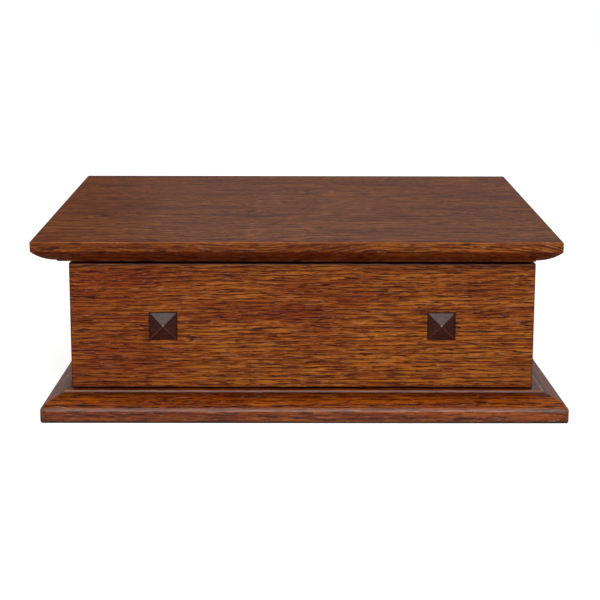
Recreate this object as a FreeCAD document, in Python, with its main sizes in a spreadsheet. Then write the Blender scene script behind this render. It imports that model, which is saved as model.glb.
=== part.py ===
"""Letter writing box: a moulded base and lid, a case with a paper well, and a dovetailed drawer.

Millimetres, +Z up. The drawer faces -Y. The origin is the centre of the base's underside.
Every size is a named cell of the sheet, and every sub-part is bound to those cells.
"""
import FreeCAD, Part
import math
import os
import Sketcher

SIZES = {
    "body_width": 327.0,          # case and drawer front, side to side
    "body_depth": 275.5,          # face of the drawer front to the back of the case
    "case_wall": 12.7,            # sides, back and well front
    "base_thick": 20.0,
    "base_overhang": 22.0,        # past the case at the front and the sides
    "base_face": 9.2,             # upright edge below the base's moulding
    "base_step": 1.6,             # small step above the base's moulding
    "base_arris": 1.6,            # rounding of its lower outer edges
    "base_crease": 4.5,           # rounding between its upright edge and its moulding
    "base_corner": 6.0,           # rounding of its two front corners, seen from above
    "base_set_right": 1.7,        # how far right of the case it is fixed
    "lid_thick": 17.0,
    "lid_overhang": 19.5,
    "lid_face": 6.8,              # upright edge above the lid's moulding
    "lid_step": 1.0,
    "lid_arris": 1.0,
    "lid_crease": 1.5,
    "lid_corner": 1.2,
    "lid_slope": 2.83,            # degrees that the writing surface rises to the back
    "lid_set_left": 4.0,          # how far left of the case the lid is hung
    "lid_rest_gap": 0.2,
    "mould_width": 16.0,          # moulding of both boards, seen from above
    "mould_radius": 29.0,
    "step_round": 0.6,            # rounding of the small steps
    "front_high": 89.0,
    "front_thick": 19.0,
    "front_foot_gap": 0.6,        # below the drawer front
    "front_head_gap": 2.3,        # between the drawer front and the lid
    "front_back_gap": 0.3,        # between the drawer front and the case
    "front_arris": 0.8,
    "drawer_mouth": 41.0,         # clear height for the drawer
    "floor_thick": 6.35,          # floor of the paper well
    "floor_lip": 3.0,             # from the drawer's mouth up to that floor
    "groove_deep": 4.0,
    "plug_side": 18.8,
    "plug_deep": 8.0,
    "plug_shadow": 0.5,           # how far the plug's edges lie below the drawer's face
    "plug_proud": 3.0,
    "plug_from_side": 65.4,
    "drawer_wall": 9.5,
    "drawer_high": 38.0,
    "drawer_side_gap": 0.5,
    "drawer_foot_gap": 0.3,
    "drawer_rear_gap": 2.0,
    "tray_thick": 5.0,            # bottom board of the drawer
    "tray_up": 5.0,               # height of that board above the drawer's foot
    "tail_count": 3,
    "pin_narrow": 3.2,
    "tail_slope": 9.0,            # degrees
    "notch_long": 100.0,          # finger notch in the well front, behind the drawer front's top edge
    "notch_deep": 22.0,
    "notch_round": 10.0,
    "hinge_long": 38.0,
    "hinge_from_side": 62.0,
    "leaf_thick": 2.0,
    "leaf_wide": 10.5,
    "leaf_gap": 0.15,             # from the seam between lid and case to each leaf
    "barrel_radius": 3.0,
    "barrel_gap": 0.4,
    "pin_radius": 1.25,
    "pin_play": 0.05,
    "knuckle_long": 14.0,         # middle knuckle, on the lid's leaf
    "knuckle_gap": 0.3,
    "lug_long": 5.5,              # stop lug on the middle knuckle
    "lug_drop": 2.6,
    "screw_radius": 1.2,
    "screw_head_radius": 2.4,
    "screw_head_deep": 1.5,
    "leaf_screw_long": 9.0,
    "leaf_screw_spread": 12.0,    # from the hinge's middle
    "front_screw_long": 22.0,
    "front_screw_from_side": 48.0,
    "base_screw_long": 38.0,
    "base_screw_radius": 2.0,
    "base_screw_head_radius": 4.0,
    "base_screw_head_deep": 2.6,
}

DOC = FreeCAD.newDocument("writing_box")
X_AXIS = FreeCAD.Vector(1, 0, 0)
TOLERANCE = 1e-6
LEFT, RIGHT = -1, 1
SIDE_NAMES = {LEFT: "left", RIGHT: "right"}


def fill_sheet():
    """Write each size to a cell, with the cell's alias as its name."""
    sheet = DOC.addObject("Spreadsheet::Sheet", "Sizes")
    for row, (alias, number) in enumerate(SIZES.items(), start=1):
        sheet.set(f"A{row}", alias)
        sheet.set(f"B{row}", str(number))
        sheet.setAlias(f"B{row}", alias)
    DOC.recompute()
    return sheet


SHEET = fill_sheet()

# Places that several pieces share, as expressions on the sheet.
BACK_Y = "(Sizes.body_depth + Sizes.base_overhang) / 2"
FACE_Y = f"({BACK_Y} - Sizes.body_depth)"
CASE_FRONT_Y = f"({FACE_Y} + Sizes.front_thick + Sizes.front_back_gap)"
BASE_WIDTH = "(Sizes.body_width + 2 * Sizes.base_overhang)"
LID_WIDTH = "(Sizes.body_width + 2 * Sizes.lid_overhang)"
SLOPE = "(Sizes.lid_slope * 1deg)"
LID_DEPTH = f"((Sizes.body_depth + Sizes.lid_overhang) / cos({SLOPE}))"
SEAT_Z = "(Sizes.base_thick + Sizes.front_foot_gap + Sizes.front_high + Sizes.front_head_gap)"
LID_BACK_Z = f"({SEAT_Z} + Sizes.body_depth * tan({SLOPE}))"
INNER_WIDTH = "(Sizes.body_width - 2 * Sizes.case_wall)"
WELL_INNER_Y = f"({CASE_FRONT_Y} + Sizes.case_wall)"
BACK_INNER_Y = f"({BACK_Y} - Sizes.case_wall)"
MOUTH_Z = "(Sizes.base_thick + Sizes.drawer_mouth)"
FLOOR_Z = f"({MOUTH_Z} + Sizes.floor_lip)"
DRAWER_FRONT_Y = f"({FACE_Y} + Sizes.front_thick)"
DRAWER_BACK_Y = f"({BACK_INNER_Y} - Sizes.drawer_rear_gap)"
DRAWER_DEPTH = f"({DRAWER_BACK_Y} - {DRAWER_FRONT_Y})"
DRAWER_WIDTH = f"({INNER_WIDTH} - 2 * Sizes.drawer_side_gap)"
DRAWER_Z = "(Sizes.base_thick + Sizes.drawer_foot_gap)"
FRONT_Z = "(Sizes.base_thick + Sizes.front_foot_gap)"
PLUG_Z = f"({FRONT_Z} + Sizes.front_high / 2)"
AXIS_Y = "(Sizes.barrel_radius + Sizes.barrel_gap)"


def case_top(y):
    """Height of the case's sloping top edge at y."""
    return f"{SEAT_Z} + ({y} - {FACE_Y}) * tan({SLOPE}) - Sizes.lid_rest_gap"


def tilted(y, z):
    """Place, in the part's frame, of a point of the lid's frame, which starts at its back lower edge."""
    return (
        f"{BACK_Y} + ({y}) * cos({SLOPE}) - ({z}) * sin({SLOPE})",
        f"{LID_BACK_Z} + ({y}) * sin({SLOPE}) + ({z}) * cos({SLOPE})",
    )


def value(expression):
    """Number that an expression has now."""
    result = SHEET.evalExpression(str(expression))
    return float(getattr(result, "Value", result))


def place(thing, x, y, z, turn="0"):
    """Bind a placement: a point, and a turn in degrees about X."""
    thing.Placement = FreeCAD.Placement(FreeCAD.Vector(), FreeCAD.Rotation(X_AXIS, 1))
    thing.setExpression("Placement.Base.x", str(x))
    thing.setExpression("Placement.Base.y", str(y))
    thing.setExpression("Placement.Base.z", str(z))
    thing.setExpression("Placement.Rotation.Angle", str(turn))


def size(thing, **expressions):
    """Bind properties of an object to expressions."""
    for name, expression in expressions.items():
        thing.setExpression(name, str(expression))
    return thing


def new_body(name):
    return DOC.addObject("PartDesign::Body", name)


def new_sketch(body, name, role):
    """Sketch on one of the body's own origin planes."""
    sketch = body.newObject("Sketcher::SketchObject", name)
    planes = [feature for feature in body.Origin.OriginFeatures if feature.Role == role]
    sketch.AttachmentSupport = [(planes[0], "")]
    sketch.MapMode = "FlatFace"
    return sketch


def bind(sketch, constraint, expression):
    """Add a dimension to a sketch and tie it to the sheet."""
    index = sketch.addConstraint(constraint)
    name = f"size_{index}"
    sketch.renameConstraint(index, name)
    sketch.setExpression(f"Constraints.{name}", expression)


def arc_between(start, end, radius, centre_side):
    """Counter-clockwise arc between two points, with its centre left (1) or right (-1) of the way."""
    chord = end - start
    normal = FreeCAD.Vector(-chord.y, chord.x, 0).normalize()
    rise = math.sqrt(radius**2 - (chord.Length / 2) ** 2)
    centre = start + chord * 0.5 + normal * (rise * centre_side)
    first, last = (start, end) if centre_side > 0 else (end, start)
    angles = [math.atan2(point.y - centre.y, point.x - centre.x) for point in (first, last)]
    if angles[1] < angles[0]:
        angles[1] += 2 * math.pi
    circle = Part.Circle(centre, FreeCAD.Vector(0, 0, 1), radius)
    return Part.ArcOfCircle(circle, *angles)


def loop(sketch, corners):
    """Closed outline through corners (x, y), or (x, y, radius, centre side) where an arc leaves."""
    points = [FreeCAD.Vector(value(corner[0]), value(corner[1]), 0) for corner in corners]
    ends = []
    for number, corner in enumerate(corners):
        start, end = points[number], points[(number + 1) % len(points)]
        if len(corner) == 2:
            ends.append((sketch.addGeometry(Part.LineSegment(start, end)), 1, 2))
            continue
        edge = sketch.addGeometry(arc_between(start, end, value(corner[2]), corner[3]))
        ends.append((edge, 1, 2) if corner[3] > 0 else (edge, 2, 1))
    for number, (edge, start, _) in enumerate(ends):
        before, _, before_end = ends[number - 1]
        sketch.addConstraint(Sketcher.Constraint("Coincident", before, before_end, edge, start))
        for kind, along, expression in (
            ("DistanceX", points[number].x, corners[number][0]),
            ("DistanceY", points[number].y, corners[number][1]),
        ):
            bind(sketch, Sketcher.Constraint(kind, -1, 1, edge, start, along), expression)
        if len(corners[number]) > 2:
            radius = corners[number][2]
            bind(sketch, Sketcher.Constraint("Radius", edge, value(radius)), radius)


def disc(sketch, x, y, radius):
    """Circle in a sketch, tied to the sheet by its centre and radius."""
    centre = FreeCAD.Vector(value(x), value(y), 0)
    circle = Part.Circle(centre, FreeCAD.Vector(0, 0, 1), value(radius))
    edge = sketch.addGeometry(circle)
    bind(sketch, Sketcher.Constraint("DistanceX", -1, 1, edge, 3, centre.x), x)
    bind(sketch, Sketcher.Constraint("DistanceY", -1, 1, edge, 3, centre.y), y)
    bind(sketch, Sketcher.Constraint("Radius", edge, value(radius)), radius)


def rectangle(x0, y0, x1, y1):
    return [(x0, y0), (x1, y0), (x1, y1), (x0, y1)]


def pad(body, sketch, length, symmetric=False, backwards=False):
    feature = body.newObject("PartDesign::Pad", f"{sketch.Name}_pad")
    feature.Profile = sketch
    feature.SideType = "Symmetric" if symmetric else "One side"
    feature.Reversed = backwards
    return size(feature, Length=length)


def pocket(body, sketch, length):
    """Cut a sketch out of a body, to both sides of the sketch."""
    feature = body.newObject("PartDesign::Pocket", f"{sketch.Name}_pocket")
    feature.Profile = sketch
    feature.SideType = "Symmetric"
    return size(feature, Length=length)


def block(name, low, high):
    """Box between two corners."""
    box = DOC.addObject("Part::Box", name)
    place(box, *low)
    spans = [f"{top} - ({bottom})" for bottom, top in zip(low, high)]
    return size(box, Length=spans[0], Width=spans[1], Height=spans[2])


def cut_by(name, blank, *tools):
    """Cut the seats of other pieces into a blank, with those pieces themselves."""
    tool = tools[0]
    if len(tools) > 1:
        tool = DOC.addObject("Part::MultiFuse", f"{name}_seats")
        tool.Shapes = list(tools)
    cut = DOC.addObject("Part::Cut", name)
    cut.Base = blank
    cut.Tool = tool
    return cut


def group(name, things):
    """Several separate solids in one node."""
    compound = DOC.addObject("Part::Compound", name)
    compound.Links = things
    return compound


def edges_in_plane(shape, axis, level):
    """Names of the edges that lie wholly in the plane at a level along an axis."""
    names = []
    for number, edge in enumerate(shape.Edges, start=1):
        ends = [getattr(edge.BoundBox, f"{axis}{end}") for end in ("Min", "Max")]
        if all(abs(end - level) < TOLERANCE for end in ends):
            names.append(f"Edge{number}")
    return names


def round_corners(body, name, edge, depth, radius):
    """Round the two front corners of a board, seen from above."""
    past = f"({radius} + Sizes.mould_width)"
    for side in (LEFT, RIGHT):
        waste = new_sketch(body, f"{name}_corner_{SIDE_NAMES[side]}", "XY_Plane")
        loop(waste, [
            (f"{side} * {edge}", f"{radius} - {depth}", radius, -side),
            (f"{side} * ({edge} - {radius})", f"-{depth}"),
            (f"{side} * ({edge} - {radius})", f"-{depth} - {past}"),
            (f"{side} * ({edge} + {past})", f"-{depth} - {past}"),
            (f"{side} * ({edge} + {past})", f"{radius} - {depth}"),
        ])
        pocket(body, waste, f"4 * {depth}")


def moulded_board(kind, depth, width, moulded_up):
    """Board with a rounded moulding and a step on its front and ends, and a plain back edge.

    In its own frame the back edge is at y = 0. The moulding climbs from the upright face to the
    top where moulded_up is true, and drops from the face to the underside where it isn't.
    """
    name = f"{kind}_blank"
    names = ("thick", "face", "step", "arris", "crease", "corner")
    thick, face, step, arris, crease, corner = (f"Sizes.{kind}_{each}" for each in names)
    flat_z, rim_z = ("0", face) if moulded_up else (thick, f"{thick} - {face}")
    far_z = thick if moulded_up else "0"
    out = 1 if moulded_up else -1
    step_z = f"{far_z} - {out} * {step}"
    round_z = f"{far_z} - {out} * Sizes.step_round"
    corner_z = f"{flat_z} + {out} * {arris}"
    inner = "(Sizes.mould_width + Sizes.step_round)"

    body = new_body(name)
    side_view = new_sketch(body, f"{name}_section", "YZ_Plane")
    loop(side_view, [
        ("0", flat_z),
        ("0", far_z),
        (f"-{depth} + {inner}", far_z, "Sizes.step_round", out),
        (f"-{depth} + Sizes.mould_width", round_z),
        (f"-{depth} + Sizes.mould_width", step_z, "Sizes.mould_radius", out),
        (f"-{depth}", rim_z),
        (f"-{depth}", corner_z, arris, out),
        (f"-{depth} + {arris}", flat_z),
    ])
    pad(body, side_view, width, symmetric=True)
    for side in (LEFT, RIGHT):
        waste = new_sketch(body, f"{name}_waste_{SIDE_NAMES[side]}", "XZ_Plane")
        edge = f"{width} / 2"
        way = out * side
        past = "Sizes.mould_width"
        loop(waste, [
            (f"{side} * ({edge} - {arris})", flat_z, arris, way),
            (f"{side} * {edge}", corner_z),
            (f"{side} * {edge}", rim_z, "Sizes.mould_radius", way),
            (f"{side} * ({edge} - Sizes.mould_width)", step_z),
            (f"{side} * ({edge} - Sizes.mould_width)", round_z, "Sizes.step_round", way),
            (f"{side} * ({edge} - {inner})", far_z),
            (f"{side} * ({edge} - {inner})", f"{far_z} + {out} * {past}"),
            (f"{side} * ({edge} + {past})", f"{far_z} + {out} * {past}"),
            (f"{side} * ({edge} + {past})", f"{flat_z} - {out} * {past}"),
            (f"{side} * ({edge} - {arris})", f"{flat_z} - {out} * {past}"),
        ])
        moulding = pocket(body, waste, f"4 * {depth}")
    DOC.recompute()
    rim = body.newObject("PartDesign::Fillet", f"{name}_crease")
    rim.Base = (moulding, edges_in_plane(moulding.Shape, "Z", value(rim_z)))
    size(rim, Radius=crease)
    round_corners(body, name, f"{width} / 2", depth, corner)
    return body


def screw(name, place_at, radius, head_radius, head_deep, length):
    """Countersunk screw from its head's face along its own +Z, turned from half its outline."""
    body = new_body(name)
    place(body, *place_at)
    half = new_sketch(body, f"{name}_half", "XZ_Plane")
    loop(half, [("0", "0"), (head_radius, "0"), (radius, head_deep), (radius, length), ("0", length)])
    turned = body.newObject("PartDesign::Revolution", f"{name}_turned")
    turned.Profile = half
    turned.ReferenceAxis = (half, ["V_Axis"])
    turned.Angle = 360
    return body


def small_screw(name, place_at, length):
    """Screw of the size that the hinges and the drawer front take."""
    head = ("Sizes.screw_head_radius", "Sizes.screw_head_deep")
    return screw(name, place_at, "Sizes.screw_radius", *head, length)


def hinge_x(side):
    return f"{side} * (Sizes.body_width / 2 - Sizes.hinge_from_side)"


def hinge_leaf(name, side, on_lid):
    """Leaf of a stop hinge: plate and barrel, cut back to its own knuckles and bored for the pin."""
    up = 1 if on_lid else -1
    reach = "Sizes.hinge_long / 2"
    middle = "Sizes.knuckle_long / 2"
    body = new_body(name)
    place(body, hinge_x(side), *tilted("0", "0"), turn="Sizes.lid_slope")

    plate = new_sketch(body, f"{name}_plate", "YZ_Plane")
    loop(plate, rectangle(
        "-Sizes.leaf_wide", f"{up} * Sizes.leaf_gap", AXIS_Y, f"{up} * (Sizes.leaf_gap + Sizes.leaf_thick)"
    ))
    pad(body, plate, "Sizes.hinge_long", symmetric=True)
    barrel = new_sketch(body, f"{name}_barrel", "YZ_Plane")
    disc(barrel, AXIS_Y, "0", "Sizes.barrel_radius")
    pad(body, barrel, "Sizes.hinge_long", symmetric=True)

    room = new_sketch(body, f"{name}_room", "XY_Plane")
    clear_y = "Sizes.barrel_gap / 2"
    far_y = f"{AXIS_Y} + 2 * Sizes.barrel_radius"
    if on_lid:
        for end in (LEFT, RIGHT):
            loop(room, rectangle(
                f"{end} * ({middle})", clear_y, f"{end} * ({reach} + Sizes.knuckle_long)", far_y
            ))
    else:
        half_room = f"({middle} + Sizes.knuckle_gap)"
        loop(room, rectangle(f"-{half_room}", clear_y, half_room, far_y))
    pocket(body, room, "8 * Sizes.barrel_radius")
    if on_lid:
        lug = new_sketch(body, f"{name}_lug", "YZ_Plane")
        loop(lug, rectangle(AXIS_Y, "-Sizes.lug_drop", f"{AXIS_Y} + Sizes.lug_long", "0"))
        pad(body, lug, "Sizes.knuckle_long", symmetric=True)

    bore = new_sketch(body, f"{name}_bore", "YZ_Plane")
    disc(bore, AXIS_Y, "0", "Sizes.pin_radius + Sizes.pin_play" if on_lid else "Sizes.pin_radius")
    pocket(body, bore, "2 * Sizes.hinge_long")
    return body


def hinge_pin(side):
    """Pin through the three knuckles, along X."""
    pin = new_body(f"pin_{SIDE_NAMES[side]}")
    place(pin, hinge_x(side), *tilted("0", "0"), turn="Sizes.lid_slope")
    outline = new_sketch(pin, f"pin_outline_{SIDE_NAMES[side]}", "YZ_Plane")
    disc(outline, AXIS_Y, "0", "Sizes.pin_radius")
    pad(pin, outline, "Sizes.hinge_long", symmetric=True)
    return pin


def leaf_screws(name, on_lid):
    """The screws of both hinges' leaves on the lid or on the case."""
    up = 1 if on_lid else -1
    turn = "Sizes.lid_slope" if on_lid else "Sizes.lid_slope + 180"
    y, z = tilted("-Sizes.leaf_wide / 2", f"{up} * Sizes.leaf_gap")
    screws = []
    for side in (LEFT, RIGHT):
        for end in (LEFT, RIGHT):
            x = f"{hinge_x(side)} + {end} * Sizes.leaf_screw_spread"
            label = f"{name}_{SIDE_NAMES[side]}_{SIDE_NAMES[end]}"
            screws.append(small_screw(label, (x, y, z, turn), "Sizes.leaf_screw_long"))
    return screws


def make_hinges():
    """Both stop hinges with their screws, by node name."""
    pieces = {}
    for side in (LEFT, RIGHT):
        label = SIDE_NAMES[side]
        pieces[f"hinge_leaf_case_{label}"] = hinge_leaf(f"case_leaf_{label}", side, on_lid=False)
        pieces[f"hinge_leaf_lid_{label}"] = hinge_leaf(f"lid_leaf_{label}", side, on_lid=True)
        pieces[f"hinge_pin_{label}"] = hinge_pin(side)
    return pieces


def seat_leaves(pieces, on_lid):
    """Cut the screw holes of the leaves on one side of the seam, and return leaves and screws."""
    where = "lid" if on_lid else "case"
    screws = group(f"{where}_leaf_screws", leaf_screws(f"{where}_screw", on_lid))
    pieces[f"hinge_screws_{where}"] = screws
    for label in SIDE_NAMES.values():
        node = f"hinge_leaf_{where}_{label}"
        pieces[node] = cut_by(f"{node}_drilled", pieces[node], screws)
    return [pieces[f"hinge_leaf_{where}_{label}"] for label in SIDE_NAMES.values()] + [screws]


def make_lid(hinge_seats):
    """Solid lid, tilted to its slope, with the hinge leaves and screws let into its underside."""
    board = moulded_board("lid", LID_DEPTH, LID_WIDTH, moulded_up=False)
    place(board, "-Sizes.lid_set_left", *tilted("0", "0"), turn="Sizes.lid_slope")
    return cut_by("lid_seated", board, *hinge_seats)


def make_base():
    """Moulded base board, and a screw up through it into each side of the case."""
    depth = "(Sizes.body_depth + Sizes.base_overhang)"
    board = moulded_board("base", depth, BASE_WIDTH, moulded_up=True)
    place(board, "Sizes.base_set_right", BACK_Y, "0")
    x = "(Sizes.body_width - Sizes.case_wall) / 2"
    y = f"({CASE_FRONT_Y} + {BACK_Y}) / 2"
    head = ("Sizes.base_screw_head_radius", "Sizes.base_screw_head_deep")
    screws = group("base_screw_set", [
        screw(
            f"base_screw_{label}", (f"{side} * {x}", y, "0"), "Sizes.base_screw_radius", *head,
            "Sizes.base_screw_long",
        )
        for side, label in SIDE_NAMES.items()
    ])
    return cut_by("base_seated", board, screws), screws


def sloped_board(name, y0, y1, z0, width):
    """Upright board across or along the case, with its top edge on the lid's slope."""
    body = new_body(name)
    section = new_sketch(body, f"{name}_outline", "YZ_Plane")
    loop(section, [(y0, z0), (y1, z0), (y1, case_top(y1)), (y0, case_top(y0))])
    pad(body, section, width, symmetric=True)
    return body


def notch(board):
    """Finger notch in the top edge of the well front, to push the drawer front out from behind."""
    half = "Sizes.notch_long / 2"
    low = f"{FRONT_Z} + Sizes.front_high - Sizes.notch_deep"
    high = f"{low} + 2 * Sizes.notch_deep"
    gap = new_sketch(board, "finger_notch", "XZ_Plane")
    loop(gap, [
        (f"-{half}", high),
        (f"-{half}", f"{low} + Sizes.notch_round", "Sizes.notch_round", 1),
        (f"-{half} + Sizes.notch_round", low),
        (f"{half} - Sizes.notch_round", low, "Sizes.notch_round", 1),
        (half, f"{low} + Sizes.notch_round"),
        (half, high),
    ])
    pocket(board, gap, "2 * Sizes.body_depth")


def make_case(base_screws, case_hinge_seats):
    """Sides, back, well front and well floor, housed in each other by grooves and rabbets."""
    housed_width = f"({INNER_WIDTH} + 2 * Sizes.groove_deep)"
    floor = block(
        "floor_panel",
        (f"-{housed_width} / 2", f"{WELL_INNER_Y} - Sizes.groove_deep", FLOOR_Z),
        (f"{housed_width} / 2", f"{BACK_INNER_Y} + Sizes.groove_deep", f"{FLOOR_Z} + Sizes.floor_thick"),
    )
    front_blank = sloped_board("well_front_blank", CASE_FRONT_Y, WELL_INNER_Y, MOUTH_Z, housed_width)
    notch(front_blank)
    back_blank = sloped_board("back_blank", BACK_INNER_Y, BACK_Y, "Sizes.base_thick", housed_width)
    pieces = {
        "well_floor": floor,
        "well_front": cut_by("well_front_grooved", front_blank, floor),
        "case_back": cut_by("back_grooved", back_blank, floor, *case_hinge_seats),
    }
    for side in (LEFT, RIGHT):
        label = SIDE_NAMES[side]
        name = f"side_blank_{label}"
        blank = sloped_board(name, CASE_FRONT_Y, BACK_Y, "Sizes.base_thick", "Sizes.case_wall")
        place(blank, f"{side} * (Sizes.body_width - Sizes.case_wall) / 2", "0", "0")
        seated = (floor, front_blank, back_blank, base_screws)
        pieces[f"case_{label}"] = cut_by(f"side_housed_{label}", blank, *seated)
    return pieces


def plug_x(side):
    return f"{side} * (Sizes.body_width / 2 - Sizes.plug_from_side)"


def make_plug(side):
    """Square plug with a low pyramid head, let into the drawer front."""
    label = SIDE_NAMES[side]
    plug = new_body(f"plug_blank_{label}")
    half = "Sizes.plug_side / 2"
    place(plug, plug_x(side), f"{FACE_Y} + Sizes.plug_shadow", PLUG_Z)
    stem = new_sketch(plug, f"plug_stem_{label}", "XZ_Plane")
    loop(stem, rectangle(f"-{half}", f"-{half}", half, half))
    pad(plug, stem, "Sizes.plug_deep - Sizes.plug_shadow", backwards=True)
    point = plug.newObject("PartDesign::AdditiveWedge", f"plug_point_{label}")
    rise = "(Sizes.plug_proud + Sizes.plug_shadow)"
    size(
        point, Xmin=f"-{half}", Xmax=half, Zmin=f"-{half}", Zmax=half, Ymin="0", Ymax=rise,
        X2min="-Sizes.plug_side / 40", X2max="Sizes.plug_side / 40",
        Z2min="-Sizes.plug_side / 40", Z2max="Sizes.plug_side / 40",
    )
    point.Placement = FreeCAD.Placement(FreeCAD.Vector(), FreeCAD.Rotation(FreeCAD.Vector(0, 0, 1), 180))
    return plug


def mortise(side):
    """Square hole of the drawer front for a plug, open to the front."""
    half = "Sizes.plug_side / 2"
    return block(
        f"plug_mortise_{SIDE_NAMES[side]}",
        (f"{plug_x(side)} - {half}", f"{FACE_Y} - Sizes.plug_proud", f"{PLUG_Z} - {half}"),
        (f"{plug_x(side)} + {half}", f"{FACE_Y} + Sizes.plug_deep", f"{PLUG_Z} + {half}"),
    )


def make_front(screws):
    """Full drawer front with eased edges, two square mortises and its screws' holes."""
    half = "Sizes.body_width / 2"
    ease = "Sizes.front_arris"
    top = f"{FRONT_Z} + Sizes.front_high"
    front = new_body("front_blank")
    place(front, "0", DRAWER_FRONT_Y, "0")
    outline = new_sketch(front, "front_outline", "XZ_Plane")
    loop(outline, rectangle(f"-{half}", FRONT_Z, half, top))
    face = pad(front, outline, "Sizes.front_thick")
    DOC.recompute()
    rounded = front.newObject("PartDesign::Fillet", "front_eased")
    rounded.Base = (face, edges_in_plane(face.Shape, "Y", value("-Sizes.front_thick")))
    size(rounded, Radius=ease)
    return cut_by("front_seated", front, mortise(LEFT), mortise(RIGHT), screws)


def front_screws():
    """Screws from inside the drawer through its front wall into the drawer front."""
    x = "(Sizes.body_width / 2 - Sizes.front_screw_from_side)"
    y = f"{DRAWER_FRONT_Y} + Sizes.drawer_wall"
    z = f"{DRAWER_Z} + (Sizes.tray_up + Sizes.tray_thick + Sizes.drawer_high) / 2"
    return group("front_screw_set", [
        small_screw(f"front_screw_{label}", (f"{side} * {x}", y, z, "90"), "Sizes.front_screw_long")
        for side, label in SIDE_NAMES.items()
    ])


def drawer_side(side):
    """Drawer side with a row of tails at each end, before its groove."""
    label = SIDE_NAMES[side]
    body = new_body(f"drawer_side_blank_{label}")
    place(body, f"{side} * ({DRAWER_WIDTH} - Sizes.drawer_wall) / 2", DRAWER_FRONT_Y, DRAWER_Z)
    outline = new_sketch(body, f"drawer_side_outline_{label}", "YZ_Plane")
    loop(outline, rectangle("0", "0", DRAWER_DEPTH, "Sizes.drawer_high"))
    pad(body, outline, "Sizes.drawer_wall", symmetric=True)

    sockets = new_sketch(body, f"drawer_sockets_{label}", "YZ_Plane")
    narrow = "Sizes.pin_narrow / 2"
    wide = "(Sizes.pin_narrow / 2 + Sizes.drawer_wall * tan(Sizes.tail_slope * 1deg))"
    inner = "Sizes.drawer_wall"
    loop(sockets, [("0", f"-{narrow}"), (inner, f"-{wide}"), (inner, wide), ("0", narrow)])
    loop(sockets, [
        (DRAWER_DEPTH, f"-{narrow}"),
        (DRAWER_DEPTH, narrow),
        (f"{DRAWER_DEPTH} - {inner}", wide),
        (f"{DRAWER_DEPTH} - {inner}", f"-{wide}"),
    ])
    first = pocket(body, sockets, "4 * Sizes.drawer_wall")
    row = body.newObject("PartDesign::LinearPattern", f"drawer_tails_{label}")
    row.Originals = [first]
    row.Direction = (sockets, ["V_Axis"])
    size(row, Length="Sizes.drawer_high", Occurrences="Sizes.tail_count + 1")
    body.Tip = row
    return body


def make_drawer():
    """Drawer box, front and screws, by node name."""
    half = f"{DRAWER_WIDTH} / 2"
    tray_half = f"({half} - Sizes.drawer_wall + Sizes.groove_deep)"
    tray_inset = "(Sizes.drawer_wall - Sizes.groove_deep)"
    tray_z = f"{DRAWER_Z} + Sizes.tray_up"
    tray = block(
        "drawer_tray",
        (f"-{tray_half}", f"{DRAWER_FRONT_Y} + {tray_inset}", tray_z),
        (tray_half, f"{DRAWER_BACK_Y} - {tray_inset}", f"{tray_z} + Sizes.tray_thick"),
    )
    screws = front_screws()
    sides = {side: drawer_side(side) for side in (LEFT, RIGHT)}
    front_wall = block(
        "drawer_subfront_blank",
        (f"-{half}", DRAWER_FRONT_Y, DRAWER_Z),
        (half, f"{DRAWER_FRONT_Y} + Sizes.drawer_wall", f"{DRAWER_Z} + Sizes.drawer_high"),
    )
    back_wall = block(
        "drawer_back_blank",
        (f"-{half}", f"{DRAWER_BACK_Y} - Sizes.drawer_wall", DRAWER_Z),
        (half, DRAWER_BACK_Y, f"{DRAWER_Z} + Sizes.drawer_high"),
    )
    pieces = {
        "drawer_front": make_front(screws),
        "drawer_front_screws": screws,
        "drawer_bottom": tray,
        "drawer_subfront": cut_by("subfront_pinned", front_wall, *sides.values(), tray, screws),
        "drawer_back": cut_by("drawer_back_pinned", back_wall, *sides.values(), tray),
    }
    for side, label in SIDE_NAMES.items():
        pieces[f"drawer_side_{label}"] = cut_by(f"drawer_side_grooved_{label}", sides[side], tray)
        pieces[f"plug_{label}"] = make_plug(side)
    return pieces


def make_all():
    """Every node of the part, by name."""
    nodes = make_hinges()
    lid_seats = seat_leaves(nodes, on_lid=True)
    case_seats = seat_leaves(nodes, on_lid=False)
    nodes["lid_board"] = make_lid(lid_seats)
    nodes["base_board"], nodes["base_screws"] = make_base()
    nodes.update(make_case(nodes["base_screws"], case_seats))
    nodes.update(make_drawer())
    return nodes


def check(nodes):
    """Stop if any feature failed or any node's shape is empty or broken."""
    for thing in DOC.Objects:
        if "Invalid" in thing.State or "Error" in thing.State:
            raise RuntimeError(f"{thing.Name} failed: {thing.State}")
    for name, thing in nodes.items():
        if thing.Shape.isNull() or not thing.Shape.isValid() or not thing.Shape.Solids:
            raise RuntimeError(f"{name} has no sound solid")


def export(nodes):
    """Write one STEP file for each node."""
    os.makedirs("parts", exist_ok=True)
    for name, thing in nodes.items():
        thing.Shape.exportStep(f"parts/{name}.step")
        print(f"{name}: {len(thing.Shape.Solids)} solids, {thing.Shape.Volume:.0f} mm3")


NODES = make_all()
DOC.recompute()
for node_name, node in NODES.items():
    node.Label = node_name
check(NODES)
export(NODES)
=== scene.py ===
"""The looks of an oak letter writing box with a drawer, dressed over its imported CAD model.

Everything is in metres, in the CAD frame: X to the right, Y to the back, Z up, the floor at Z = 0.
"""

from math import pi, radians

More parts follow.
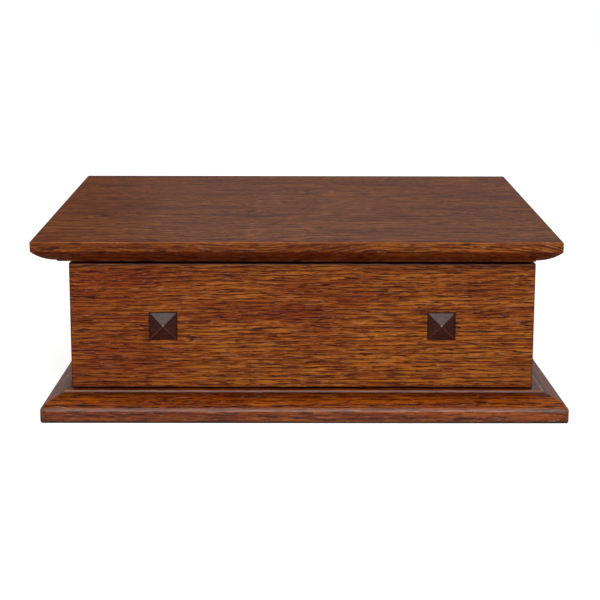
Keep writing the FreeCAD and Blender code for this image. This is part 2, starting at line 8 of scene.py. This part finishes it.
import bpy
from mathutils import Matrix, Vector

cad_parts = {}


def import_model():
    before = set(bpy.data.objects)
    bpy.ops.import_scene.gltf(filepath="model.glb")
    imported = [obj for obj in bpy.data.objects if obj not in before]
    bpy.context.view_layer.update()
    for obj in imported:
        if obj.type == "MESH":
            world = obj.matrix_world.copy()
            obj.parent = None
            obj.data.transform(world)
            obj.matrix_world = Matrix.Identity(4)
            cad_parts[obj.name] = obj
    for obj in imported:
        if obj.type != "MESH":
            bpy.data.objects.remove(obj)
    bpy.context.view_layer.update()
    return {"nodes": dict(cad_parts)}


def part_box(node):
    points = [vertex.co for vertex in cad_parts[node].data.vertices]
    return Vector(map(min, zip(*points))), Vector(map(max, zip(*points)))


# ---- camera and stage ----------------------------------------------------------------------

CAMERA_PLACE = (-0.0069, -1.1394, 0.2768)
CAMERA_TURN = (79.21, -0.13, -0.27)  # degrees about X, Y and Z: it looks a little down
CAMERA_LENS = 88.0  # millimetres on a 36 mm sensor
FLOOR_HALF = 12.0
FLOOR_COLOUR = (196, 196, 194)
FLOOR_GLOW = (0.3, 2.0, 0.72, 0.9)  # to the camera: eased between two distances, and its levels
FLOOR_MIRRORED = 0.2  # share of that glow in a mirror
WORLD_LIGHT = 0.32
WORLD_MIRRORED = (0.05, 0.3, 0.8, 0.09)  # eased between two heights, and its levels

# name: place, target, width and height of the lamp, watts
LAMPS = {
    "lamp_key": ((0.0, -1.4, 0.9), (0.0, -0.1, 0.08), (0.95, 0.55), 14.0),
    "lamp_top": ((0.0, -0.2, 2.0), (0.0, 0.0, 0.08), (1.8, 1.8), 3.8),
    "lamp_left": ((-1.7, -1.4, 0.9), (0.0, 0.0, 0.07), (1.3, 1.3), 8.0),
    "lamp_right": ((1.7, -1.4, 0.9), (0.0, 0.0, 0.07), (1.3, 1.3), 8.0),
    "lamp_back": ((0.3, 1.9, 1.3), (0.0, 0.0, 0.07), (1.4, 1.4), 7.0),
}

# ---- colours, in sRGB ----------------------------------------------------------------------

# Stained wood: latewood, middle tone, red streaks and open pores
FRONT_TONES = ((172, 100, 28), (124, 57, 14), (112, 36, 10), (50, 12, 8))
LID_TONES = ((148, 83, 24), (107, 49, 14), (97, 36, 12), (46, 14, 12))
BASE_TONES = ((156, 76, 2), (110, 40, 1), (96, 27, 1), (38, 10, 4))
CASE_TONES = ((150, 84, 30), (116, 54, 20), (98, 40, 16), (52, 20, 14))
INNER_TONES = ((206, 162, 108), (184, 138, 86), (166, 112, 66), (104, 70, 44))
SHADED = (116, 34, 8)  # painted shade, darker and redder, on the overhanging mouldings
# painted shade in seams, recesses and under the lid, with some dirt on the base
DIRT_AND_SHADE = (26, 12, 8)
PALE_HIGHLIGHT = (152, 124, 112)  # painted highlight and sheen, pale, on rounded arrises and the base's edge
GOLDEN_HIGHLIGHT = (184, 108, 52)  # painted highlight, golden, on the lid's arris, and a little on its upright faces
GLINT = (198, 156, 136)  # painted glints in the mouths of the pores
PLUG_DARK = (30, 8, 2)
PLUG_LIGHT = (66, 24, 10)
# The next two: painted highlights on the lower ridges and on the tip of a plug
PLUG_RIDGE_HIGHLIGHT = (120, 54, 42)
PLUG_TIP_HIGHLIGHT = (150, 164, 166)
BRASS = ((206, 164, 92), (150, 108, 56))  # bright and tarnished
STEEL = ((176, 174, 170), (116, 112, 108))

# ---- figure of the wood --------------------------------------------------------------------

# Cells of noise: length along the grain and width across it
SWAY_CELL = (0.16, 0.05)
RIPPLE_CELL = (0.024, 0.007)
STREAK_CELL = (0.026, 0.0007)
PATCH_CELL = (0.12, 0.006)
CLOUD_CELL = (0.09, 0.022)
DASH_CELL = (0.012, 0.0014)
FLECK_CELL = (0.008, 0.0007)

RIPPLE = 0.0010  # how far the fine ripple pushes the fibres
LEAN = 0.01  # slope of the pith line to the grain

# Parts of a growth ring, which runs from 0 to 1: eased in over one span and out over another
EARLYWOOD = ((0.0, 0.15), (0.25, 0.5))
LATEWOOD = ((0.5, 0.75), (0.85, 1.0))
PORE_ROW = ((0.02, 0.08), (0.14, 0.26))
PORE_MOUTHS = ((0.18, 0.26), (0.30, 0.40))

# What makes up the tone of the wood, and where that tone turns from middle to light
STREAK_SHARE = 0.65  # the rest is patches
RING_SHARE = 0.06  # from ring to ring
BAND_SHARE = 0.045  # from earlywood to latewood
TONE_SPAN = (0.42, 0.62)
RED_SPAN = (0.46, 0.7, 0.0, 0.6)  # clouds that are redder, and by how much

# Layers of open pores: length and width of a noise cell, where they start and end, and depth
PORES = (
    (0.018, 0.0006, 0.600, 0.630, 0.95),
    (0.008, 0.0005, 0.595, 0.630, 0.85),
)
DASH_SPAN = (0.46, 0.53)  # where a dash in the rows of large pores starts and ends
CLOUD_BIAS = 0.04  # how far the clouds gather the pores
MOUTH_SPAN = 0.05  # noise this far short of a pore lies in its mouth
FLECK_SPAN = (0.58, 0.64)  # where a painted glint in a mouth starts and ends
GLINT_SHARE = 0.33

STREAK_RELIEF = 0.3  # height of the streaks beside the depth of the pores
GROUND_RELIEF = 0.0002
COAT_RELIEF = 0.00006
COAT = 0.3  # weight of the clear coat
GROUND_ROUGH = 0.6  # of the wood under the coat

# ---- finish of the plugs and fittings ------------------------------------------------------

PLUG_GRAIN_CELL = (0.006, 0.0007)
PLUG_GRAIN_SPAN = (0.35, 0.65)  # where the grain turns from dark to light
PLUG_RELIEF = 0.00003
PLUG_COAT = 0.35
PLUG_ROUGH = 0.28
TARNISH_CELL = (0.009, 0.006)
TARNISH_SPAN = (0.38, 0.66)  # where the metal turns from bright to tarnished
BRUSH_CELL = (0.012, 0.00025)
BRUSH_RELIEF = 0.00005
BRUSH_STRENGTH = 0.2
ROUGH_SPAN = (0.3, 1.5)  # tarnish and brush lines together, from the smoothest to the roughest
BRASS_ROUGH = (0.26, 0.46)
STEEL_ROUGH = (0.3, 0.5)

# ---- painted shade, painted highlights and dirt --------------------------------------------

BASE_STEP = 0.0016  # height of the small step above the base's moulding
BASE_STEP_OUT = 0.006  # how far the face of that step stands out from the case
BASE_CREASE_Z = 0.0096  # middle of the rounding between the base's edge and its moulding
TIP_RISE = 0.0007  # how far above the middle of a plug its tip shines

# A mask holds two values and the share at each of what it paints: painted shade and highlights,
# and some dirt. It is eased between them, and held outside. The values of these masks are metres.
SEAM_DIRT_AND_SHADE = (0.0004, 0.0026, 0.85, 0.0)  # painted shade and some dirt along the seam, out from the foot of the case
STEP_SHADOW_AND_DIRT = (-0.0022, -0.0002, 0.0, 0.55)  # painted shadow and some dirt under the small step, up to its foot
PAST_STEP = (0.0, 0.0004, 0.0, 1.0)  # out from the face of the small step
FLOOR_SHADE = (0.0008, 0.0024, 0.95, 0.0)  # painted shade on the rounded bottom arris, up from the floor
STEP_RIM = (-0.0004, -0.0001, 0.0, 0.55)  # painted highlight on the arris of the small step, out to its face
ABOVE_STEP = (0.0, 0.0003, 0.0, 1.0)  # up from its foot
CREASE_HIGHLIGHT = (0.0006, 0.0016, 0.35, 0.0)  # painted highlight along the crease, away from it up or down
PAST_MOULDING = (0.016, 0.019, 0.0, 1.0)  # out from the case
EDGE_SHEEN = (0.0076, 0.0088, 0.07, 0.0)  # painted sheen on the face of the base, fading out up its edge
AT_EDGE = (0.019, 0.0205, 0.0, 1.0)  # out from the case
PLUG_RECESS_SHADOW = (0.0004, 0.0011, 0.9, 0.0)  # painted shadow in the recess, out from the sides of a plug
END_SHADE = (-0.0012, -0.0003, 0.0, 0.7)  # painted shade, out to the ends of the drawer front
BELOW_TOP = (0.0001, 0.0004, 0.0, 1.0)  # down from the top of the drawer front
TOP_HIGHLIGHT = (0.0007, 0.0013, 0.3, 0.0)  # painted highlight, down from there as well
RIDGE_HIGHLIGHT = (0.0002, 0.0008, 0.4, 0.0)  # painted highlight, away from the ridges of a plug
LOWER_HALF = (0.0, -0.001, 0.0, 1.0)  # down from the middle of a plug
TIP_SHINE = (0.0001, 0.0011, 0.4, 0.0)  # painted highlight, away from the tip of a plug

# The values of these masks are slopes: 1 looks up, 0 to a side and -1 down.
LOOKS_UP = (0.6, 0.9, 0.0, 1.0)
# The next: painted shade on the mouldings that look down
OVERHANG = (-0.1, -0.7, 0.0, 0.55)
NOT_UNDERSIDE = (-0.996, -0.985, 0.0, 1.0)
# The next: painted shade on the top of the drawer front, under the lid
FRONT_TOP = (0.9, 0.99, 0.0, 0.6)
LID_ARRIS = (0.1, 0.35, 0.0, 0.4)
NOT_LID_TOP = (0.85, 0.98, 1.0, 0.0)
LID_EDGE = (0.08, 0.16, 0.06, 0.0)  # up or down from upright

# ---- node trees ----------------------------------------------------------------------------


def linear(colour):
    """An sRGB colour of 0..255 as linear light with alpha."""
    parts = [c / 255.0 for c in colour]
    light = [c / 12.92 if c <= 0.04045 else ((c + 0.055) / 1.055) ** 2.4 for c in parts]
    return (*light, 1.0)


class Graph:
    """The node tree of a material or world, with short calls that add a node and join it."""

    def __init__(self, owner):
        owner.use_nodes = True
        self.owner = owner
        self.tree = owner.node_tree
        self.tree.nodes.clear()

    def add(self, kind, **settings):
        node = self.tree.nodes.new(kind)
        for key, value in settings.items():
            setattr(node, key, value)
        return node

    def feed(self, socket, value):
        if isinstance(value, bpy.types.NodeSocket):
            self.tree.links.new(value, socket)
        else:
            socket.default_value = value

    def math(self, operation, a, b=0.0):
        node = self.add("ShaderNodeMath", operation=operation)
        self.feed(node.inputs[0], a)
        self.feed(node.inputs[1], b)
        return node.outputs[0]

    def both(self, a, b):
        """The product of two shares."""
        return self.math("MULTIPLY", a, b)

    def largest(self, first, *others):
        """The largest of some shares."""
        for other in others:
            first = self.math("MAXIMUM", first, other)
        return first

    def vector(self, operation, a, b):
        node = self.add("ShaderNodeVectorMath", operation=operation)
        self.feed(node.inputs[0], a)
        self.feed(node.inputs[1], b)
        return node.outputs[0]

    def split(self, vector):
        """The x, y and z of a vector."""
        parts = self.add("ShaderNodeSeparateXYZ")
        self.feed(parts.inputs["Vector"], vector)
        return parts.outputs["X"], parts.outputs["Y"], parts.outputs["Z"]

    def ramp(self, value, low, high, to_low=0.0, to_high=1.0):
        """The value eased from low..high to to_low..to_high, and held outside."""
        node = self.add("ShaderNodeMapRange", interpolation_type="SMOOTHSTEP")
        self.feed(node.inputs["Value"], value)
        node.inputs["From Min"].default_value = low
        node.inputs["From Max"].default_value = high
        node.inputs["To Min"].default_value = to_low
        node.inputs["To Max"].default_value = to_high
        return node.outputs["Result"]

    def hump(self, value, rise, fall):
        """1 between two spans of a value, eased in over the first and out over the second."""
        return self.both(self.ramp(value, *rise), self.ramp(value, *fall, 1.0, 0.0))

    def mix(self, share, a, b):
        node = self.add("ShaderNodeMix", data_type="RGBA")
        self.feed(node.inputs["Factor"], share)
        self.feed(node.inputs["A"], a)
        self.feed(node.inputs["B"], b)
        return node.outputs["Result"]

    def noise(self, place, cell, detail=1.0, roughness=0.5):
        """Noise whose cells are stretched along the grain."""
        along, across = cell
        node = self.add("ShaderNodeTexNoise")
        stretched = self.vector("MULTIPLY", place, (1 / along, 1 / across, 1 / across))
        self.feed(node.inputs["Vector"], stretched)
        node.inputs["Scale"].default_value = 1.0
        node.inputs["Detail"].default_value = detail
        node.inputs["Roughness"].default_value = roughness
        return node

    def finish(self, shader, output="ShaderNodeOutputMaterial"):
        self.tree.links.new(shader, self.add(output).inputs["Surface"])
        return self.owner


def new_material(name):
    return Graph(bpy.data.materials.new(name))


def relief(g, height, depth, strength=1.0):
    """The normal of a surface whose height changes by `depth` metres."""
    bump = g.add("ShaderNodeBump")
    bump.inputs["Strength"].default_value = strength
    bump.inputs["Distance"].default_value = depth
    g.feed(bump.inputs["Height"], height)
    return bump.outputs["Normal"]


def coated(g, colour, ground, weight, rough, coat):
    """A matt ground under a clear coat, each with its own normal."""
    shader = g.add("ShaderNodeBsdfPrincipled")
    g.feed(shader.inputs["Base Color"], colour)
    shader.inputs["Roughness"].default_value = GROUND_ROUGH
    shader.inputs["Specular IOR Level"].default_value = 0.0
    shader.inputs["Coat Weight"].default_value = weight
    shader.inputs["Coat Roughness"].default_value = rough
    g.feed(shader.inputs["Normal"], ground)
    g.feed(shader.inputs["Coat Normal"], coat)
    return g.finish(shader.outputs["BSDF"])


# ---- places on the object ------------------------------------------------------------------


def object_parts(g):
    """The x, y and z of the CAD frame, in metres."""
    return g.split(g.add("ShaderNodeTexCoord").outputs["Object"])


def upward(g):
    """How far the surface looks up in the CAD frame at rest: 1 is up, -1 is down."""
    return g.split(g.add("ShaderNodeTexCoord").outputs["Normal"])[2]


def past(g, value, middle, half):
    """How far a value lies outside a span about its middle: negative inside it."""
    return g.math("SUBTRACT", g.math("ABSOLUTE", g.math("SUBTRACT", value, middle)), half)


def distance(g, a, b):
    """The length of the diagonal over two sides."""
    return g.math("SQRT", g.math("ADD", g.both(a, a), g.both(b, b)))


def span(node, axis):
    """Middle and half width of a CAD node along an axis."""
    low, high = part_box(node)
    return (low[axis] + high[axis]) / 2, (high[axis] - low[axis]) / 2


def moved(mask, by):
    """A mask whose two values are moved along."""
    low, high, *shares = mask
    return (low + by, high + by, *shares)


def base_distances(g):
    """How far outside the case a place of the base is, its height, and the foot of the small step."""
    x, y, z = object_parts(g)
    front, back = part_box("drawer_front")[0].y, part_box("case_back")[1].y
    outside_x = past(g, x, *span("drawer_front", 0))
    outside_y = past(g, y, (front + back) / 2, (back - front) / 2)
    return g.largest(outside_x, outside_y), z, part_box("base_board")[1].z - BASE_STEP


# ---- masks of painted shade, painted highlights and dirt -----------------------------------


def overhung(g):
    """Share of painted shade, darker and redder, on a moulding that looks down, but not on a flat
    underside.
    """
    up = upward(g)
    return g.both(g.ramp(up, *OVERHANG), g.ramp(up, *NOT_UNDERSIDE))


def base_dirt_and_shade(g):
    """Painted shade with some dirt along the foot of the case, painted shadow with some dirt under
    the step, and painted shade on the bottom arris at the floor.
    """
    outside, z, step_foot = base_distances(g)
    seam = g.both(g.ramp(outside, *SEAM_DIRT_AND_SHADE), g.ramp(upward(g), *LOOKS_UP))
    past_step = g.ramp(outside, *moved(PAST_STEP, BASE_STEP_OUT))
    moulding = g.both(g.ramp(z, *moved(STEP_SHADOW_AND_DIRT, step_foot)), past_step)
    return g.largest(seam, moulding, g.ramp(z, *FLOOR_SHADE))


def base_highlights(g):
    """Painted highlights on the arrises of the base's small step and of its moulding, and painted
    sheen on the edge below.
    """
    outside, z, step_foot = base_distances(g)
    rim = g.ramp(outside, *moved(STEP_RIM, BASE_STEP_OUT))
    step = g.both(rim, g.ramp(z, *moved(ABOVE_STEP, step_foot)))
    from_crease = past(g, z, BASE_CREASE_Z, 0.0)
    crease = g.both(g.ramp(from_crease, *CREASE_HIGHLIGHT), g.ramp(outside, *PAST_MOULDING))
    sheen = g.both(g.ramp(z, *EDGE_SHEEN), g.ramp(outside, *AT_EDGE))
    return g.largest(step, crease, sheen)


def front_shade(g):
    """Painted shadow round the plugs in their recesses, and painted shade on the top of the drawer
    front under the lid and on its ends.
    """
    x, _, z = object_parts(g)
    around_x = past(g, g.math("ABSOLUTE", x), *span("plug_right", 0))
    around_z = past(g, z, *span("plug_right", 2))
    plug = g.ramp(g.largest(around_x, around_z), *PLUG_RECESS_SHADOW)
    ends = g.ramp(past(g, x, *span("drawer_front", 0)), *END_SHADE)
    return g.largest(plug, ends, g.ramp(upward(g), *FRONT_TOP))


def front_highlight(g):
    """Painted highlight on the upper arris of the drawer front."""
    _, _, z = object_parts(g)
    down = g.math("SUBTRACT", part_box("drawer_front")[1].z, z)
    return g.both(g.ramp(down, *BELOW_TOP), g.ramp(down, *TOP_HIGHLIGHT))


def lid_highlight(g):
    """Painted highlight on the arris round the top of the lid, and its upright faces a little more
    golden.
    """
    up = upward(g)
    arris = g.both(g.ramp(up, *LID_ARRIS), g.ramp(up, *NOT_LID_TOP))
    return g.largest(arris, g.ramp(g.math("ABSOLUTE", up), *LID_EDGE))


def plug_highlights(g):
    """Shares of painted highlight on the lower ridges and on the tip of the low pyramid of a plug."""
    x, _, z = object_parts(g)
    across = g.math("SUBTRACT", g.math("ABSOLUTE", x), span("plug_right", 0)[0])
    up = g.math("SUBTRACT", z, span("plug_right", 2)[0])
    off = g.math("SUBTRACT", g.math("ABSOLUTE", across), g.math("ABSOLUTE", up))
    ridge = g.ramp(g.math("ABSOLUTE", off), *RIDGE_HIGHLIGHT)
    from_tip = distance(g, across, g.math("SUBTRACT", up, TIP_RISE))
    return g.both(ridge, g.ramp(up, *LOWER_HALF)), g.ramp(from_tip, *TIP_SHINE)


# ---- oak -----------------------------------------------------------------------------------


def grain_space(g, grain="x", shift=(0, 0, 0)):
    """Object space turned so that its X runs along the grain, and moved so that boards differ."""
    turn = g.add("ShaderNodeMapping")
    g.feed(turn.inputs["Vector"], g.add("ShaderNodeTexCoord").outputs["Object"])
    turn.inputs["Rotation"].default_value = (0, 0, -pi / 2 if grain == "y" else 0)
    turn.inputs["Location"].default_value = shift
    return turn.outputs["Vector"]


def bent_space(g, place, sway, dive):
    """Grain space with the slow sway and dive of a tree trunk's fibres, and a finer ripple on it."""
    bent = place
    for cell, push in ((SWAY_CELL, (0, sway, dive)), (RIPPLE_CELL, (0, RIPPLE, RIPPLE))):
        about_zero = g.vector("SUBTRACT", g.noise(place, cell).outputs["Color"], (0.5, 0.5, 0.5))
        bent = g.vector("ADD", bent, g.vector("MULTIPLY", about_zero, push))
    return bent


def growth_rings(g, bent, pith, spacing):
    """The ring count at a place: distance from a leaning pith line, over the ring spacing."""
    x, y, z = g.split(bent)
    rise = g.math("MULTIPLY", x, LEAN)
    across = g.math("SUBTRACT", g.math("SUBTRACT", y, pith[0]), rise)
    deep = g.math("SUBTRACT", g.math("SUBTRACT", z, pith[1]), rise)
    return g.math("DIVIDE", distance(g, across, deep), spacing)


def blushed(g, place, wood, red, start, end, share):
    """The wood with more red in it towards one end of its grain."""
    return g.mix(g.ramp(g.split(place)[0], start, end, share, 0.0), wood, red)


def oak_ground(g, tones, bent, rings, cloud, patch_cell):
    """Colour of the wood between its pores, and the fine streaks in it."""
    light, middle, red = (linear(t) for t in tones)
    phase = g.math("FRACT", rings)
    band = g.math("SUBTRACT", g.hump(phase, *LATEWOOD), g.hump(phase, *EARLYWOOD))
    ring_tone = g.add("ShaderNodeTexWhiteNoise", noise_dimensions="1D")
    g.feed(ring_tone.inputs["W"], g.math("FLOOR", rings))
    ring_push = g.math("SUBTRACT", ring_tone.outputs["Value"], 0.5)
    streak = g.noise(bent, STREAK_CELL).outputs["Fac"]
    patch = g.noise(bent, patch_cell, 2.0).outputs["Fac"]
    parts = (
        (streak, STREAK_SHARE),
        (patch, 1 - STREAK_SHARE),
        (ring_push, RING_SHARE),
        (band, BAND_SHARE),
    )
    tone = 0.0
    for part, share in parts:
        tone = g.math("ADD", tone, g.math("MULTIPLY", part, share))
    wood = g.mix(g.ramp(tone, *TONE_SPAN), middle, light)
    return g.mix(g.ramp(cloud, *RED_SPAN), wood, red), streak


def ring_pores(g, bent, rings):
    """Dashes of large pores where each growth ring begins, and their mouths."""
    dash = g.ramp(g.noise(bent, DASH_CELL).outputs["Fac"], *DASH_SPAN)
    phase = g.math("FRACT", rings)
    return g.both(g.hump(phase, *PORE_ROW), dash), g.both(g.hump(phase, *PORE_MOUTHS), dash)


def open_pores(g, bent, rings, bias):
    """How deep in an open pore a place is, from 0 to 1, and how much painted glint lies beside it."""
    pores, mouths = ring_pores(g, bent, rings)
    for along, across, low, high, share in PORES:
        speck = g.math("ADD", g.noise(bent, (along, across)).outputs["Fac"], bias)
        pores = g.largest(pores, g.ramp(speck, low, high, 0.0, share))
        mouths = g.largest(mouths, g.ramp(speck, low - MOUTH_SPAN, low))
    fleck = g.ramp(g.noise(bent, FLECK_CELL).outputs["Fac"], *FLECK_SPAN)
    glint = g.both(fleck, g.math("SUBTRACT", mouths, pores))
    return pores, g.largest(glint, 0.0)


def oak(name, tones, grain="x", shift=(0, 0, 0), pith=(0.0, -0.3), spacing=0.0026, sway=0.006,
        dive=0.006, patch_cell=PATCH_CELL, rough=0.3, coat=COAT, blush=None, shade_and_dirt_mask=None, highlight_mask=None):
    """Stained, waxed oak. The pith is a line along the grain, at (across, deep) in grain space.

    `blush` is a start, an end and a share. The next is a mask of painted shade with some dirt, and
    the last a mask of painted highlight with its colour.
    """
    g = new_material(name)
    red, pore = linear(tones[2]), linear(tones[3])
    place = grain_space(g, grain, shift)
    bent = bent_space(g, place, sway, dive)
    rings = growth_rings(g, bent, pith, spacing)
    cloud = g.noise(bent, CLOUD_CELL, 2.0).outputs["Fac"]
    wood, streak = oak_ground(g, tones[:3], bent, rings, cloud, patch_cell)
    if blush:
        wood = blushed(g, place, wood, red, *blush)

    cloud_bias = g.math("MULTIPLY", g.math("SUBTRACT", cloud, 0.5), CLOUD_BIAS)
    pores, glint = open_pores(g, bent, rings, cloud_bias)
    # painted shade, darker and redder, on the mouldings that look down
    wood = g.mix(pores, g.mix(overhung(g), wood, linear(SHADED)), pore)
    # painted glints beside the pores
    colour = g.mix(g.math("MULTIPLY", glint, GLINT_SHARE), wood, linear(GLINT))
    # painted shade, with some dirt on the base
    if shade_and_dirt_mask:
        colour = g.mix(shade_and_dirt_mask(g), colour, linear(DIRT_AND_SHADE))
    # painted highlights on rounded arrises
    if highlight_mask:
        share, pale = highlight_mask
        colour = g.mix(share(g), colour, linear(pale))

    hollow = g.math("SUBTRACT", 0.0, pores)
    ground = g.math("ADD", g.math("MULTIPLY", streak, STREAK_RELIEF), hollow)
    ground_normal = relief(g, ground, GROUND_RELIEF)
    return coated(g, colour, ground_normal, coat, rough, relief(g, hollow, COAT_RELIEF))


# ---- plugs and fittings --------------------------------------------------------------------


def ebonised(name):
    """Plug wood stained nearly black-brown, polished, with a faint grain."""
    g = new_material(name)
    grain = g.noise(grain_space(g), PLUG_GRAIN_CELL, 3.0, 0.6).outputs["Fac"]
    colour = g.mix(g.ramp(grain, *PLUG_GRAIN_SPAN), linear(PLUG_DARK), linear(PLUG_LIGHT))
    # painted highlights on the lower ridges and the tip
    ridge, tip = plug_highlights(g)
    colour = g.mix(tip, g.mix(ridge, colour, linear(PLUG_RIDGE_HIGHLIGHT)), linear(PLUG_TIP_HIGHLIGHT))
    ground = relief(g, grain, PLUG_RELIEF)
    return coated(g, colour, ground, PLUG_COAT, PLUG_ROUGH, ground)


def metal(name, tones, roughness):
    """Brushed metal with a patchy tarnish, from bright and smooth to dull and rough."""
    g = new_material(name)
    bright, dull = tones
    place = grain_space(g)
    tarnish = g.ramp(g.noise(place, TARNISH_CELL, 4.0, 0.65).outputs["Fac"], *TARNISH_SPAN)
    lines = g.noise(place, BRUSH_CELL, 2.0).outputs["Fac"]
    rough = g.ramp(g.math("ADD", tarnish, lines), *ROUGH_SPAN, *roughness)
    shader = g.add("ShaderNodeBsdfPrincipled")
    shader.inputs["Metallic"].default_value = 1.0
    g.feed(shader.inputs["Base Color"], g.mix(tarnish, linear(bright), linear(dull)))
    g.feed(shader.inputs["Roughness"], rough)
    g.feed(shader.inputs["Normal"], relief(g, lines, BRUSH_RELIEF, BRUSH_STRENGTH))
    return g.finish(shader.outputs["BSDF"])


# ---- stage ---------------------------------------------------------------------------------


def reflected_or_refracted(g, path):
    return g.largest(path.outputs["Is Glossy Ray"], path.outputs["Is Transmission Ray"])


def floor_material():
    """Pale and matt, with a glow that only the camera and mirrors see."""
    g = new_material("floor_pale")
    lit = g.add("ShaderNodeBsdfDiffuse")
    lit.inputs["Color"].default_value = linear(FLOOR_COLOUR)
    glow = g.add("ShaderNodeEmission")
    path = g.add("ShaderNodeLightPath")
    mirrored = g.math("MULTIPLY", reflected_or_refracted(g, path), FLOOR_MIRRORED)
    seen = g.largest(path.outputs["Is Camera Ray"], mirrored)
    away = g.add("ShaderNodeVectorMath", operation="LENGTH")
    g.feed(away.inputs[0], g.add("ShaderNodeTexCoord").outputs["Object"])
    g.feed(glow.inputs["Strength"], g.both(seen, g.ramp(away.outputs["Value"], *FLOOR_GLOW)))
    both = g.add("ShaderNodeAddShader")
    g.feed(both.inputs[0], lit.outputs["BSDF"])
    g.feed(both.inputs[1], glow.outputs["Emission"])
    return g.finish(both.outputs["Shader"])


def make_floor():
    mesh = bpy.data.meshes.new("floor")
    h = FLOOR_HALF
    mesh.from_pydata([(-h, -h, 0), (h, -h, 0), (h, h, 0), (-h, h, 0)], [], [(0, 1, 2, 3)])
    floor = bpy.data.objects.new("floor", mesh)
    bpy.context.scene.collection.objects.link(floor)
    mesh.materials.append(floor_material())


def make_world():
    """White to the camera, dimmer overhead to a mirror, and a soft light to everything else."""
    world = bpy.data.worlds.new("studio")
    bpy.context.scene.world = world
    g = Graph(world)
    path = g.add("ShaderNodeLightPath")
    height = g.split(g.add("ShaderNodeTexCoord").outputs["Generated"])[2]
    mirrored = g.both(reflected_or_refracted(g, path), g.ramp(height, *WORLD_MIRRORED))
    light = g.add("ShaderNodeBackground")
    light.inputs["Color"].default_value = (1, 1, 1, 1)
    g.feed(light.inputs["Strength"], g.largest(path.outputs["Is Camera Ray"], mirrored, WORLD_LIGHT))
    g.finish(light.outputs["Background"], "ShaderNodeOutputWorld")


def aimed(thing, place, target):
    thing.location = place
    thing.rotation_euler = (Vector(target) - Vector(place)).to_track_quat("-Z", "Y").to_euler()


def make_lamps():
    for name, (place, target, (width, height), watts) in LAMPS.items():
        data = bpy.data.lights.new(name, "AREA")
        data.shape = "RECTANGLE"
        data.size = width
        data.size_y = height
        data.energy = watts
        lamp = bpy.data.objects.new(name, data)
        aimed(lamp, place, target)
        bpy.context.scene.collection.objects.link(lamp)


def make_camera():
    data = bpy.data.cameras.new("camera")
    data.lens = CAMERA_LENS
    camera = bpy.data.objects.new("camera", data)
    camera.location = CAMERA_PLACE
    camera.rotation_euler = [radians(angle) for angle in CAMERA_TURN]
    bpy.context.scene.collection.objects.link(camera)
    bpy.context.scene.camera = camera


# ---- the object ----------------------------------------------------------------------------


def dress(nodes, name, material):
    """Puts one material on all of a CAD node."""
    mesh = nodes[name].data
    mesh.materials.clear()
    mesh.materials.append(material)


def seen_boards():
    """The oak of the lid, the base and the drawer front, each with its painted highlights, and
    painted shade on the base and the drawer front, with some dirt on the base.
    """
    return {
        "lid_board": oak(
            "oak_lid", LID_TONES, pith=(-0.2, -0.25), spacing=0.0034, sway=0.008, dive=0.034,
            patch_cell=(0.014, 0.004), coat=0.17, highlight_mask=(lid_highlight, GOLDEN_HIGHLIGHT),
        ),
        "base_board": oak(
            "oak_base", BASE_TONES, shift=(0.7, 0.2, 0), pith=(0.5, -0.2), rough=0.2, coat=0.38,
            shade_and_dirt_mask=base_dirt_and_shade, highlight_mask=(base_highlights, PALE_HIGHLIGHT),
        ),
        "drawer_front": oak(
            "oak_front", FRONT_TONES, shift=(1.4, 0, 0.1), pith=(0.1, 0.55), spacing=0.0027,
            coat=0.22, blush=(1.25, 1.36, 0.5), shade_and_dirt_mask=front_shade, highlight_mask=(front_highlight, PALE_HIGHLIGHT),
        ),
    }


def case_boards():
    return {
        "case_left": oak("oak_case_left", CASE_TONES, "y", (2.1, 0, 0), (-0.3, 0.05)),
        "case_right": oak("oak_case_right", CASE_TONES, "y", (2.8, 0, 0), (0.3, 0.1)),
        "case_back": oak("oak_case_back", CASE_TONES, shift=(3.5, 0, 0), pith=(0.3, 0.05)),
        "well_front": oak("oak_well_front", CASE_TONES, shift=(4.2, 0, 0), pith=(0.1, 0.06)),
        "well_floor": oak("oak_well_floor", CASE_TONES, shift=(4.9, 0, 0)),
    }


def drawer_boards():
    return {
        "drawer_subfront": oak("oak_subfront", INNER_TONES, shift=(5.6, 0, 0), pith=(0.1, 0.03)),
        "drawer_back": oak("oak_drawer_back", INNER_TONES, shift=(6.3, 0, 0), pith=(0.3, 0.02)),
        "drawer_side_left": oak("oak_drawer_left", INNER_TONES, "y", (7.0, 0, 0), (-0.3, 0.02)),
        "drawer_side_right": oak("oak_drawer_right", INNER_TONES, "y", (7.7, 0, 0), (0.3, 0.04)),
        "drawer_bottom": oak("oak_drawer_bottom", INNER_TONES, shift=(8.4, 0, 0)),
    }


def dress_boards(nodes):
    boards = seen_boards() | case_boards() | drawer_boards()
    for name, material in boards.items():
        dress(nodes, name, material)


def dress_fittings(nodes):
    brass = metal("brass_satin", BRASS, BRASS_ROUGH)
    steel = metal("steel_dull", STEEL, STEEL_ROUGH)
    plug = ebonised("plug_dark")
    for side in ("left", "right"):
        dress(nodes, "plug_" + side, plug)
        dress(nodes, "hinge_leaf_case_" + side, brass)
        dress(nodes, "hinge_leaf_lid_" + side, brass)
        dress(nodes, "hinge_pin_" + side, steel)
    for name in ("hinge_screws_case", "hinge_screws_lid"):
        dress(nodes, name, brass)
    for name in ("base_screws", "drawer_front_screws"):
        dress(nodes, name, steel)


def main():
    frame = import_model()
    bpy.context.scene.view_settings.view_transform = "Standard"
    make_camera()
    make_world()
    make_lamps()
    make_floor()
    dress_boards(frame["nodes"])
    dress_fittings(frame["nodes"])


main()
